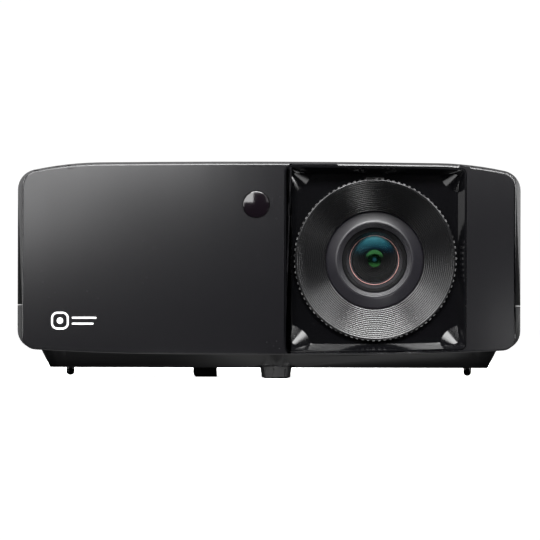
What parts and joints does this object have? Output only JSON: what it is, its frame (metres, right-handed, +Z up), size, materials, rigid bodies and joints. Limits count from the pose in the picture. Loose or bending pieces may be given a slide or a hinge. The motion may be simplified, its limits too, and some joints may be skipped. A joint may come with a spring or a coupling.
{
  "type": "home projector",
  "caption": "Compact black projector with an off-centre lens behind a knurled focus ring in a square hood, a screw-adjusted front foot, top keypad, side grilles and rear sockets.",
  "frame": {"origin": "on the table, under the middle of the housing's width and depth", "axes": "+X to the right of a viewer facing the front, -Y out of the lens, +Z up"},
  "size_m": [0.274, 0.216, 0.1182],
  "materials": {
    "case": "satin black moulded plastic with a very fine grain",
    "grille": "satin black",
    "front_gloss": "black, polished",
    "hood_gloss": "black, mirror polished",
    "window": "infrared-clear black, polished",
    "ring": "satin black",
    "lens_metal": "black anodised look",
    "lens_glass": "coated optical glass",
    "keypad": "satin black",
    "button": "fine matte",
    "light_pipe": "frosted clear",
    "knob": "satin black",
    "rubber": "matte",
    "rear_foot": "black, polished",
    "steel": "zinc plated",
    "port_steel": "nickel plated",
    "port_plastic": "matte black",
    "brass": "machined",
    "aluminium": "die-cast and extruded",
    "board": "green solder mask",
    "fan": "moulded black",
    "ribbon": "flat cable",
    "phosphor": "phosphor coat on a metal disc"
  },
  "bodies": {
    "housing": {"upper_case": "case", "lower_case": "case", "front_panel": "front_gloss", "ir_window": "window", "lens_hood": "hood_gloss", "right_grille": "grille", "left_grille": "grille", "rear_panel": "case", "hdmi_port_1": "port_steel", "hdmi_port_2": "port_steel", "usb_port": "port_steel", "audio_jack": "port_plastic", "serial_port": "port_steel", "mains_inlet": "port_plastic", "keypad_plate": "keypad", "status_light_pipe": "light_pipe", "rear_foot_left": "rear_foot", "rear_foot_right": "rear_foot", "stub_foot": "rubber", "ir_sensor_board": "board", "light_engine": "aluminium", "dmd_heatsink": "aluminium", "laser_module": "brass", "laser_heatsink": "aluminium", "wheel_motor": "steel", "exhaust_fan_frame": "fan", "intake_fan_frame": "fan", "main_board": "board", "power_supply_board": "board", "speaker": "fan", "keypad_board": "board", "keypad_ribbon": "ribbon", "lens_body": "aluminium", "rear_lens": "lens_glass", "foot_insert": "brass", "case_screw_front_left": "steel", "case_screw_rear_left": "steel", "case_screw_front_right": "steel", "case_screw_rear_right": "steel"},
    "focus": {"focus_ring": "ring"},
    "lens_group": {"lens_cell": "lens_metal", "front_lens": "lens_glass", "lens_retainer": "lens_metal", "aperture_ring": "lens_metal", "second_lens": "lens_glass"},
    "foot_carrier": {"foot_stop_washer": "steel"},
    "foot_screw": {"foot_knob": "knob", "foot_stud": "steel", "foot_pad": "rubber"},
    "exhaust_rotor": {"exhaust_fan_rotor": "fan"},
    "intake_rotor": {"intake_fan_rotor": "fan"},
    "phosphor_rotor": {"phosphor_wheel": "phosphor"},
    "power_button_body": {"power_button": "button"},
    "up_button_body": {"up_button": "button"},
    "down_button_body": {"down_button": "button"},
    "left_button_body": {"left_button": "button"},
    "right_button_body": {"right_button": "button"},
    "enter_button_body": {"enter_button": "button"},
    "menu_button_body": {"menu_button": "button"},
    "source_button_body": {"source_button": "button"}
  },
  "joints": [
    {"name": "focus_turn", "type": "hinge", "parent": "housing", "child": "focus", "pos_m": [0.0579, -0.098, 0.0649], "axis": [0, -1, 0], "range_deg": [-40.1, 40.1]},
    {"name": "focus_travel", "type": "slide", "parent": "housing", "child": "lens_group", "axis": [0, -1, 0], "range_m": [-0.002, 0.002]},
    {"name": "foot_travel", "type": "slide", "parent": "housing", "child": "foot_carrier", "axis": [0, 0, 1], "range_m": [-0.012, 0]},
    {"name": "foot_turn", "type": "hinge", "parent": "foot_carrier", "child": "foot_screw", "pos_m": [0.0039, -0.092, 0.003], "axis": [0, 0, 1], "range_deg": [-2161, 0]},
    {"name": "exhaust_spin", "type": "hinge", "parent": "housing", "child": "exhaust_rotor", "pos_m": [-0.11, 0, 0.062], "axis": [1, 0, 0], "continuous": true},
    {"name": "intake_spin", "type": "hinge", "parent": "housing", "child": "intake_rotor", "pos_m": [0.11, 0.024, 0.062], "axis": [1, 0, 0], "continuous": true},
    {"name": "phosphor_spin", "type": "hinge", "parent": "housing", "child": "phosphor_rotor", "pos_m": [-0.041, 0, 0.062], "axis": [1, 0, 0], "continuous": true},
    {"name": "power_button_press", "type": "slide", "parent": "housing", "child": "power_button_body", "axis": [0, 0, -1], "range_m": [0, 0.0008], "stiffness_N_per_m": 400, "springref_m": -0.0003},
    {"name": "up_button_press", "type": "slide", "parent": "housing", "child": "up_button_body", "axis": [0, 0, -1], "range_m": [0, 0.0008], "stiffness_N_per_m": 400, "springref_m": -0.0003},
    {"name": "down_button_press", "type": "slide", "parent": "housing", "child": "down_button_body", "axis": [0, 0, -1], "range_m": [0, 0.0008], "stiffness_N_per_m": 400, "springref_m": -0.0003},
    {"name": "left_button_press", "type": "slide", "parent": "housing", "child": "left_button_body", "axis": [0, 0, -1], "range_m": [0, 0.0008], "stiffness_N_per_m": 400, "springref_m": -0.0003},
    {"name": "right_button_press", "type": "slide", "parent": "housing", "child": "right_button_body", "axis": [0, 0, -1], "range_m": [0, 0.0008], "stiffness_N_per_m": 400, "springref_m": -0.0003},
    {"name": "enter_button_press", "type": "slide", "parent": "housing", "child": "enter_button_body", "axis": [0, 0, -1], "range_m": [0, 0.0008], "stiffness_N_per_m": 400, "springref_m": -0.0003},
    {"name": "menu_button_press", "type": "slide", "parent": "housing", "child": "menu_button_body", "axis": [0, 0, -1], "range_m": [0, 0.0008], "stiffness_N_per_m": 400, "springref_m": -0.0003},
    {"name": "source_button_press", "type": "slide", "parent": "housing", "child": "source_button_body", "axis": [0, 0, -1], "range_m": [0, 0.0008], "stiffness_N_per_m": 400, "springref_m": -0.0003}
  ],
  "couplings": [
    {"joint": "focus_turn", "follows": "focus_travel", "rad_per_m": 349.9},
    {"joint": "foot_turn", "follows": "foot_travel", "rad_per_m": 3141.6}
  ]
}
